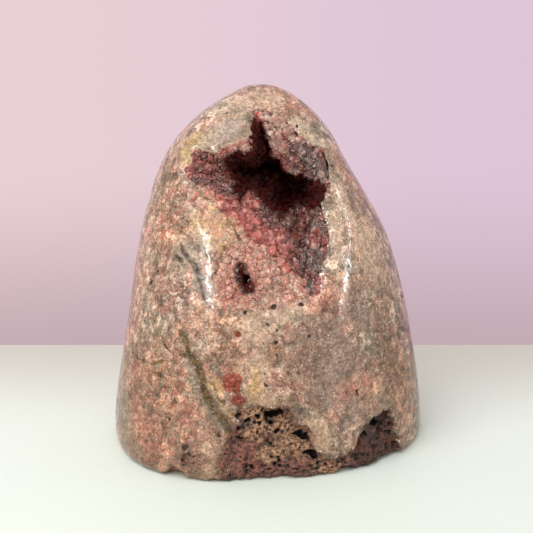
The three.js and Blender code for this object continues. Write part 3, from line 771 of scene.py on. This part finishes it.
# The polish is dull where the rock is broken, lumpy or weathered, and a little where it is etched.
rough_part = broken_part
for level in (product(tree, stored["band"], 0.5), product(tree, stored["weathered"], 0.7), hole):
    rough_part = add(tree, "Math", (rough_part, level), operation="MAXIMUM")[0]
etched = product(tree, (total(tree, scratch, (wear, 0.5)), 0.73, 0.83))
dullness = total(tree, 0.1, (etched, 0.35), (rough_part, 0.6))
rough_height = total(tree, 0.0, (speck, 0.5), (tiny_hole, -0.5))
height = total(tree, 0.0, (speck, 0.025), (pore, -0.2), (dust, 0.02), (rough_height, rough_part))
bump = add(tree, "Bump", {"Height": height, "Distance": MM, "Strength": 1.0})[0]
dress(stone, polish, {"Base Color": colour, "Roughness": dullness, "Normal": bump, "IOR": QUARTZ_IOR,
                      "Specular IOR Level": 0.4})


def darkened(piece, level_name, least_level, full_level, name, edge, middle):
    """Gives the parts of a piece over a level their own material, painted nearly black as painted shade: it
    swallows the light, with hardly a gleam, and is a little lighter and redder at its edge."""
    material, tree = new_material(name)
    level = add(tree, "Attribute", attribute_name=level_name)["Fac"]
    shade_mottle = add(tree, "TexNoise", {"Vector": millimetres(tree), "Scale": 1 / 1.2})[0]
    tone = paint(tree, edge, ((level, least_level, full_level), middle), ((shade_mottle, 0.5, 0.6), 0.4, edge))
    dress(piece, material, {"Base Color": tone, "Roughness": 0.5, "IOR": QUARTZ_IOR,
                            "Specular IOR Level": 0.04})
    levels = [kept.value for kept in piece.data.attributes[level_name].data]
    for face in piece.data.polygons:
        if min(levels[corner] for corner in face.vertices) > least_level:
            face.material_index = 1


# The mouths of the caves and the deepest holes get a material painted near black: painted shade.
darkened(stone, "cave", 0.0, 0.3, "shade_black_rock", "#20120a", "#050201")

# ---------------------------------------------------------------- the crystal crust of the large hollow
# Pink amethyst druse: close-set lumps 2 to 4 mm across, each a cluster of small crystal points. It grew
# on the wall of the hollow. Iron turns it from pink to rust in one corner; in the depth it is painted near
# black, as painted shade.

# The depth of the hollow, which is painted dark as painted shade: X and height in mm, from the front.
DEEP_EDGE = [
    (-5.2, 127.5), (-3.2, 125), (-1.6, 121), (-0.5, 117), (2.1, 112.8), (4.7, 111), (6.4, 106.5),
    (9.2, 104), (13, 104.8), (15.4, 103.6), (18.3, 103.7), (22, 102), (20.8, 99), (18.7, 97.4),
    (14.8, 95.3), (9.9, 95.5), (7.7, 94.1), (4.5, 93.3), (-0.5, 96.6), (-3.5, 100.3), (-7.9, 102.1),
    (-10.2, 99), (-12, 101.4), (-12.3, 105.5), (-14.3, 108.6), (-15, 113.5), (-12, 116.2), (-8, 115),
    (-5.6, 115.6), (-6.6, 120), (-7, 124),
]
# Patches of differently tinted crystals, as on the stone. The mauve and grey ones are partly the crystals'
# own tint and partly painted shade, on the hanging mass and the left of the floor.
CRYSTALS = {
    "rust": [
        (-22, 111.5, 8, 5, -12), (-14, 111, 7, 4.5, -10), (11.4, 88, 2, 5, -30), (9.4, 76, 1.6, 8, 22),
        (17, 86, 3, 3), (20, 98, 3, 6),
    ],
    "mauve": [
        (12, 114, 9, 7, -45), (18, 108, 6, 6), (-25, 105, 5, 2.5, -40), (-16.5, 104, 8, 3, -30),
        (14, 90, 9, 8), (15, 79, 6.5, 10), (12, 68.5, 4, 4), (2, 93, 7, 4, -20),
    ],
    "grey": [
        (18.5, 91, 3, 6), (16, 78.5, 4.5, 5), (12.8, 67.6, 4, 3), (15.5, 113, 6, 3.2, -45),
        (20, 107, 3, 4), (8, 89.5, 2, 1.6),
    ],
    "pale": [
        (0.8, 122, 2.2, 6, 12), (4, 116.5, 3, 3, -30), (9, 107.4, 3, 1.6), (-8.5, 116.6, 4.5, 2.4, 15),
        (19.4, 106.8, 1.6, 1.6), (-8.5, 103, 1.8, 1.8), (3.5, 126, 6.5, 3.6, -40),
        (7.5, 121.5, 4, 2.2, -42), (-0.5, 129, 3, 2.5),
    ],
    "peach": [
        (-22, 99, 3.4, 6, 40), (-14, 90, 3.6, 7, 45), (-8, 82.5, 3.4, 7, 55), (0, 76, 3.4, 7, 55),
        (8, 69, 3, 7, 50),
    ],
}
# The bare crack at the upper left: height, its middle and its half-width in mm.
CRACK = [(112, -1.5, 4), (116, -3, 2.6), (120, -4.4, 2), (127, -5.2, 1.6)]
# Where crystals grow over the edge at the upper left.
UPPER_RIM = [(-14, 118), (-9, 119.5), (-5, 121.5), (-4.6, 115), (-9, 112.6), (-15, 114)]


def lump_shape(subdivisions, point_height, stray, seed):
    """A ball of crystal faces, radius 1, each drawn out into a three-sided point where asked. It comes as
    its corners, its faces, and which corners are tips."""
    bpy.ops.object.select_all(action="DESELECT")
    bpy.ops.mesh.primitive_ico_sphere_add(subdivisions=subdivisions, radius=1)
    ball = bpy.context.object
    corners = len(ball.data.vertices)
    if point_height:
        edit((bpy.ops.mesh.select_all, {"action": "SELECT"}), (bpy.ops.mesh.poke, {"offset": point_height}))
    dice = random.Random(seed)
    shape = [np.array(corner.co) * (1 + dice.uniform(-stray, stray)) for corner in ball.data.vertices]
    tips = [float(number >= corners if point_height else number % 3 == 0) for number in range(len(shape))]
    faces = [list(face.vertices) for face in ball.data.polygons]
    bpy.data.objects.remove(ball)
    return np.array(shape), np.array(faces), np.array(tips)


LARGE_LUMPS = [lump_shape(2, 0, 0.16, seed) for seed in (3, 4, 5)]
SHARP_LUMPS = [lump_shape(1, 0.3, 0.15, seed) for seed in (9, 10, 11)]
SMALL_LUMPS = [lump_shape(1, 0, 0.2, seed) for seed in (6, 7, 8)]

SWELL = 1.6  # mm that the crust swells and sinks
SWELL_WIDTH = 4.5  # mm, and over what width
SINK = 0.5  # mm that its lumps are set back in it
BARELY_ON_SKIN = 0.01  # no skin tint to speak of, but the crust's swell leaves the lump alone
RIM_REACH = 4.5  # mm of skin that crystals grow over
WALL_BEHIND = 1.6  # mm: a face with rock nearer than this before it looks at the wall
EDGE_ABOVE = 58  # mm: the edges below this stay bare
SMALL_HOLLOW_AT = (-8.9, 72.9)  # X and height in mm
SMALL_RIM = 9.5  # mm round there in which crystals belong to the small hollow
CLEAR_OF_SMALL = 10  # mm from there that those of the large hollow keep
BIG_ABOVE = 74  # mm: no large lump grows lower down
LEFT_TIP = (-16, 104)  # X and height in mm: nor left of this and above it, where the hollow narrows

bare_rock = tree_of([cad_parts["geode_stone"].data])


def faces_of(mesh, wanted):
    """The wanted faces of a mesh, each as its corners in mm, its area and its direction."""
    return [([mesh.vertices[corner].co / MM for corner in face.vertices], face.area, face.normal.copy())
            for face in mesh.polygons if wanted(face)]


def looks_out(face):
    """Whether a face of a CAD crust looks into the hollow, not at the wall behind."""
    start = face.center + face.normal * 0.05 * MM
    return face.area > 0 and bare_rock.ray_cast(start, face.normal, WALL_BEHIND * MM)[0] is None


def rim_faces(chosen):
    """The faces of the polished stone whose corners are all chosen."""
    return faces_of(stone.data, lambda face: all(chosen[corner] for corner in face.vertices))


def scatter(faces, apart, tries, seed):
    """Places scattered over faces, no two closer than asked, with the directions there."""
    dice = random.Random(seed)
    areas = np.cumsum([area for _, area, _ in faces])
    kept, taken = [], {}
    for _ in range(tries):
        corners, _, outwards = faces[int(np.searchsorted(areas, dice.random() * areas[-1]))]
        u, v = dice.random(), dice.random()
        if len(corners) == 3 and u + v > 1:
            u, v = 1 - u, 1 - v
        spot = corners[0] + (corners[1] - corners[0]) * u + (corners[-1] - corners[0]) * v
        cell = [int(t // apart) for t in spot]
        near = [place for dx in (-1, 0, 1) for dy in (-1, 0, 1) for dz in (-1, 0, 1)
                for place in taken.get((cell[0] + dx, cell[1] + dy, cell[2] + dz), [])]
        if all((spot - place).length >= apart for place in near):
            taken.setdefault(tuple(cell), []).append(spot)
            kept.append((spot, outwards))
    return kept


def lip_of(node_name, apart):
    """Places along the lip of a CAD crust, where it meets the skin of the stone, with the way out."""
    shape = copy_of_node(node_name, "lip")
    outwards = Vector((0, -0.95, 0.3))
    kept = []
    for spot in sharp_places(shape, math.radians(50), 0.7):
        near_skin = bare_rock.ray_cast((spot + outwards * 0.3) * MM, outwards, 5 * MM)[0] is None
        if near_skin and all((spot - other).length > apart for other, _ in kept):
            kept.append((spot, outwards))
    bpy.data.objects.remove(shape)
    return kept


def grow(lumps, places, shapes, radii, rise, dice, on_skin=0.0):
    """Adds a lump of crystals at each place, standing out by a share of its radius."""
    for spot, outwards in places:
        radius = dice.uniform(*radii)
        if not on_skin:
            spot = spot + outwards * (SWELL * noise.noise(spot / SWELL_WIDTH) - SINK)
        turn = outwards.to_track_quat("Z", "Y").to_matrix() @ Matrix.Rotation(dice.uniform(0, 6.28), 3, "Z")
        size = Matrix.Diagonal((radius, radius * dice.uniform(0.65, 1), radius * dice.uniform(0.7, 1.2)))
        lumps.append((dice.choice(shapes), np.array(turn @ size), np.array(spot + outwards * radius * rise),
                      dice.random(), on_skin))


def crust_piece(node_name, piece_name, lumps):
    """One crust: the CAD crust underneath, and every lump of crystals grown on it, in one mesh."""
    crust = copy_of_node(node_name, piece_name)
    corners = [points_of(crust)]
    faces = [list(face.vertices) for face in crust.data.polygons]
    count = len(corners[0])
    kept = {"tip": [np.zeros(count)], "tint": [np.full(count, 0.3)], "on_skin": [np.zeros(count)]}
    for (shape, shape_faces, shape_tips), turn, spot, tint, on_skin in lumps:
        corners.append(shape @ turn.T + spot)
        faces += (shape_faces + count).tolist()
        kept["tip"].append(shape_tips)
        kept["tint"].append(np.full(len(shape), tint))
        kept["on_skin"].append(np.full(len(shape), on_skin))
        count += len(shape)
    mesh = bpy.data.meshes.new(piece_name)
    mesh.from_pydata((np.vstack(corners) * MM).tolist(), [], faces)
    mesh.update()
    crust.data = mesh
    for name, values in kept.items():
        store(crust, name, np.concatenate(values))
    return crust


def in_crack(spot):
    """Whether a place lies in the bare crack at the upper left."""
    heights, middles, half_widths = zip(*CRACK)
    middle, half_width = np.interp(spot.z, heights, middles), np.interp(spot.z, heights, half_widths)
    return spot.z > CRACK[0][0] and abs(spot.x - middle) < half_width


def in_band(spot):
    """Whether a place lies in the lumpy band or beside it."""
    return inside_by(np.array([spot]), LUMPY_BAND)[0] > -2


# Crystals line the hollow and its lip. They also grow over its edge: pale ones on the upper left, and pink
# ones on the lumpy band. The largest keep to the floor and the right.
main_faces = faces_of(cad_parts["main_hollow_crust"].data, looks_out)
big = [(spot, outwards) for spot, outwards in scatter(main_faces, 4.4, 5000, 31)
       if not in_crack(spot) and spot.z > BIG_ABOVE and (spot.x > LEFT_TIP[0] or spot.z < LEFT_TIP[1])]
middle = [(spot, outwards) for spot, outwards in scatter(main_faces, 2.4, 12000, 32) if not in_crack(spot)]
small = scatter(main_faces, 1.1, 50000, 33)
from_small = np.hypot(points[:, 0] - SMALL_HOLLOW_AT[0], points[:, 2] - SMALL_HOLLOW_AT[1])
on_edge = ~wall & (to_wall < RIM_REACH) & (points[:, 1] < 0) & (points[:, 2] > EDGE_ABOVE)
upper_rim = rim_faces(on_edge & (front_only(points, UPPER_RIM) > 0))
band_rim = rim_faces(on_edge & (inside_band > 0) & (from_small > CLEAR_OF_SMALL))
lip = [(spot, outwards) for spot, outwards in lip_of("main_hollow_crust", 1.1) if in_band(spot)]
rest = [(spot, outwards) for spot, outwards in lip_of("main_hollow_crust", 1.0) if not in_band(spot)]

# Each row: the places, the shapes, the least and greatest radius in mm, the rise, and how far on the skin.
dice = random.Random(21)
main_lumps = []
for row in (
        (lip, SHARP_LUMPS, (0.8, 1.7), 0.0, dice, 0.7),
        (rest, SMALL_LUMPS, (0.8, 1.5), -0.1, dice, BARELY_ON_SKIN),
        (scatter(upper_rim, 1.4, 2500, 34), SHARP_LUMPS, (0.8, 1.6), 0.0, dice, 0.3),
        (scatter(band_rim, 2.6, 2500, 35), SHARP_LUMPS, (1.3, 2.3), -0.7, dice, 1.0),
        (scatter(band_rim, 2.0, 4000, 36), SHARP_LUMPS, (0.6, 1.1), -0.4, dice, 1.0),
        (big, LARGE_LUMPS, (1.6, 2.5), 0.25, dice),
        (middle, SHARP_LUMPS, (0.9, 1.6), 0.3, dice),
        (small, SMALL_LUMPS, (0.5, 0.95), 0.6, dice)):
    grow(main_lumps, *row)
main_crust = crust_piece("main_hollow_crust", "main_hollow_crystals", main_lumps)

points = points_of(main_crust)
store(main_crust, "deep", inside_by(strayed(points, (0, 2.5, 1.0)), DEEP_EDGE))
spread = strayed(points, (0, 4, 1.4))
for name, patches in CRYSTALS.items():
    store(main_crust, name, patch_level(spread, {"front": patches}))
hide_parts("main_hollow_crust")
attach(main_crust, "root")


def facets(tree, place, size):
    """The height in mm of flat crystal faces of a size in mm, each leaning its own way."""
    made = add(tree, "TexVoronoi", {"Vector": place, "Scale": 1 / size})
    lean = add(tree, "VectorMath", (made["Color"], (0.5, 0.5, 0.5)), operation="SUBTRACT")[0]
    apart = add(tree, "VectorMath", (place, made["Position"]), operation="SUBTRACT")[0]
    return add(tree, "VectorMath", (lean, apart), operation="DOT_PRODUCT")["Value"]


def crystals(piece, name, dark, light, tip_colour, zones=()):
    """Dresses a piece in quartz crystals: glassy faces, with light that soaks in at one and out at others.
    Each zone has its name, a dark and a light tint."""
    material, tree = new_material(name)
    place = millimetres(tree)
    mottle, speck = (
        add(tree, "TexNoise", {"Vector": place, "Scale": 1 / size, "Detail": 3, "Roughness": roughness})[0]
        for size, roughness in ((3, 0.5), (0.7, 0.6)))
    stored = {name: add(tree, "Attribute", attribute_name=name)["Fac"]
              for name in ("tint", "on_skin", "deep", "tip", *(zone for zone, _, _ in zones))}
    tint = total(tree, -0.65, (mottle, 1.4), (stored["tint"], 0.9))
    colour = paint(tree, dark, (tint, light))
    for zone, zone_dark, zone_light in zones:
        level = total(tree, -0.5, (mottle, 1), (stored[zone], 1))
        colour = paint(tree, colour, ((level, -0.25, 0.35), paint(tree, zone_dark, (tint, zone_light))))
    # Where the deep level is high the crystals are painted dark: painted shade.
    deep = product(tree, (stored["deep"], -2.2, 0.4))
    colour = paint(
        tree, colour,
        (stored["on_skin"], 0.8, paint(tree, "#bf7a66", (tint, "#e4b8a4"))),
        (stored["tip"], total(tree, 0.5, (deep, -0.5)), tip_colour),
        ((speck, 0.48, 0.36), 0.35, "#4e2420"),
        (deep, "#34110c"))
    bump = add(tree, "Bump", {"Height": facets(tree, place, 0.9), "Distance": 0.35 * MM})[0]
    dress(piece, material, {
        "Base Color": colour, "Roughness": 0.28, "IOR": QUARTZ_IOR, "Normal": bump,
        "Specular IOR Level": 0.3, "Subsurface Weight": 0.6, "Subsurface Radius": (1.0, 0.4, 0.35),
        "Subsurface Scale": 1.3 * MM})


# The mauve and grey tints are partly painted shade.
crystals(main_crust, "pink_amethyst_druse", "#8a3f3b", "#d87b71", "#efbdb3",
         [("mauve", "#43201e", "#7c4640"), ("grey", "#463230", "#806a65"), ("rust", "#581e14", "#8c463a"),
          ("pale", "#a06f62", "#dfbaab"), ("peach", "#c67c64", "#ecb79a")])
# The middle of the depth gets a material painted near black: painted shade.
darkened(main_crust, "deep", -0.8, 3.5, "shade_black_druse", "#46150f", "#260604")

# ---------------------------------------------------------------- the crystal crust of the small hollow
# The same druse, finer and stained red by iron, in a pocket the size of a fingertip. It grew on the
# pocket's wall too, all round a slot that it never closed, which is painted near black: painted shade.

# The edge of the slot: X and height in mm, from the front.
SLOT_EDGE = [
    (-10.8, 77.6), (-9, 77.4), (-8.8, 75), (-8, 72), (-5.9, 71.3), (-6, 67.8), (-8.2, 67.6), (-9.8, 70),
    (-10.9, 73), (-11.6, 75.3),
]
# The slot itself: a place in it as X and height in mm, its lean, its half-width and its top in mm.
SLOT_AT = (-8.2, 71)
SLOT_LEAN = -0.35
SLOT_HALF_WIDTH = 1.5
SLOT_TOP = 74


def outside_slot(places):
    """The places that don't lie in the slot."""
    return [(spot, outwards) for spot, outwards in places
            if abs(spot.x - SLOT_AT[0] - (spot.z - SLOT_AT[1]) * SLOT_LEAN) >= SLOT_HALF_WIDTH
            or spot.z >= SLOT_TOP]


small_faces = faces_of(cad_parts["small_hollow_crust"].data, looks_out)
around = rim_faces(on_edge & (from_small < SMALL_RIM))
dice = random.Random(22)
small_lumps = []
for row in (
        (outside_slot(scatter(small_faces, 2.0, 2000, 41)), SHARP_LUMPS, (0.9, 1.3), 0.3, dice),
        (outside_slot(scatter(small_faces, 1.1, 4000, 42)), SMALL_LUMPS, (0.4, 0.75), 0.6, dice),
        (scatter(around, 2.0, 1200, 43), SHARP_LUMPS, (0.9, 1.7), -0.2, dice, 0.6),
        (scatter(around, 1.2, 2500, 44), SMALL_LUMPS, (0.5, 0.9), 0.0, dice, 0.8),
        (lip_of("small_hollow_crust", 1.0), SHARP_LUMPS, (0.8, 1.7), 0.1, dice, 0.4)):
    grow(small_lumps, *row)
small_crust = crust_piece("small_hollow_crust", "small_hollow_crystals", small_lumps)
points = points_of(small_crust)
store(small_crust, "deep", inside_by(strayed(points, (0, 3, 0.8)), SLOT_EDGE))
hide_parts("small_hollow_crust")
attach(small_crust, "root")
crystals(small_crust, "iron_stained_druse", "#ad594e", "#e6a08f", "#f2c9ba")
# The slot gets a material painted near black: painted shade.
darkened(small_crust, "deep", 0.1, 1.6, "shade_black_slot", "#74281e", "#200603")

# ---------------------------------------------------------------- floor and light
# A pale matt table, a pale lilac room, one wide soft lamp high on the left, and three tall narrow ones
# whose reflections draw the bright lines down the ridges.

TABLE_BACK = 0.112  # the table ends this far behind the stone's middle
TABLE_FRONT = -3.0
TABLE_HALF_WIDTH = 3.0
KEY_LOOKS_AT = Vector((0, -0.01, 0.08))
STRIPS_LOOK_AT = Vector((0, -0.02, 0.08))
STRIP_DISTANCE = 0.9

bpy.ops.object.select_all(action="DESELECT")
bpy.ops.mesh.primitive_plane_add(size=2, location=(0, 0, 0))
table = bpy.context.object
table.name = "table"
edit((bpy.ops.transform.resize, {"value": (TABLE_HALF_WIDTH, (TABLE_BACK - TABLE_FRONT) / 2, 1)}),
     (bpy.ops.transform.translate, {"value": (0, (TABLE_BACK + TABLE_FRONT) / 2, 0)}))

# Matt paint spreads the light and hardly gleams. Its faint mottle is the grain of the roller, 3 mm wide.
white_paint, tree = new_material("matt_white_paint")
place = millimetres(tree)
rolled = add(tree, "TexNoise", {"Vector": place, "Scale": 1 / 3.0})[0]
_, behind, _ = add(tree, "SeparateXYZ", (place,))
# Towards the back the table is painted darker: painted shade.
tone = paint(tree, "#e3ebe3", (rolled, "#e7efe7"), ((behind, -10, 115), "#cbc8bf"))
dress(table, white_paint, {"Base Color": tone, "Roughness": 0.6})


def direction_to(azimuth, elevation):
    """The direction at so many degrees right of the front, and so many upwards."""
    a, e = math.radians(azimuth), math.radians(elevation)
    return Vector((math.sin(a) * math.cos(e), -math.cos(a) * math.cos(e), math.sin(e)))


def lamp(name, place, turn, width, height, power):
    """A rectangular lamp."""
    bpy.ops.object.light_add(type="AREA", location=place)
    made = bpy.context.object
    made.name = name
    made.rotation_euler = turn.to_euler()
    made.data.shape = "RECTANGLE"
    made.data.size = width
    made.data.size_y = height
    made.data.energy = power
    return made


def strip_lamp(name, low_end, high_end, width, power):
    """A narrow lamp between two directions. It is seen only in the polish and lights nothing else."""
    low, high = (direction_to(*end) * STRIP_DISTANCE for end in (low_end, high_end))
    outwards, along = ((low + high) / 2).normalized(), (high - low).normalized()
    across = along.cross(outwards).normalized()
    turn = Matrix((across, outwards.cross(across), outwards)).transposed()
    made = lamp(name, (low + high) / 2 + STRIPS_LOOK_AT, turn, width, (high - low).length, power)
    made.visible_diffuse = False


key = direction_to(-35, 52)
lamp("key_lamp", KEY_LOOKS_AT + key * 1.1, key.to_track_quat("Z", "Y"), 0.9, 0.9, 9.5)
strip_lamp("left_strip", (-11, 9), (-66, 36), 0.022, 9)
strip_lamp("low_right_strip", (46, 2), (70, 18.5), 0.022, 5)
strip_lamp("high_right_strip", (70, 18.5), (92, 34), 0.014, 1.5)

# The room is white, but for a lilac wall behind the stone that is painted darker low down: painted shade.
world = bpy.data.worlds.new("studio")
bpy.context.scene.world = world
world.use_nodes = True
tree = world.node_tree
rightwards, backwards, upwards = add(tree, "SeparateXYZ", (add(tree, "TexCoord")["Generated"],))
upper_wall = paint(tree, "#e9d0d5", ((rightwards, -0.3, 0.3), "#dec5d8"))
# Painted shade: the wall darkens towards its foot.
wall_behind = paint(tree, "#c1a9b1", ((upwards, -0.34, -0.1), upper_wall))
room = paint(tree, "#d6d6d0", ((backwards, 0.3, 0.7), wall_behind))
tree.links.new(room, tree.nodes["Background"].inputs["Color"])
bpy.context.scene.view_settings.view_transform = "Standard"
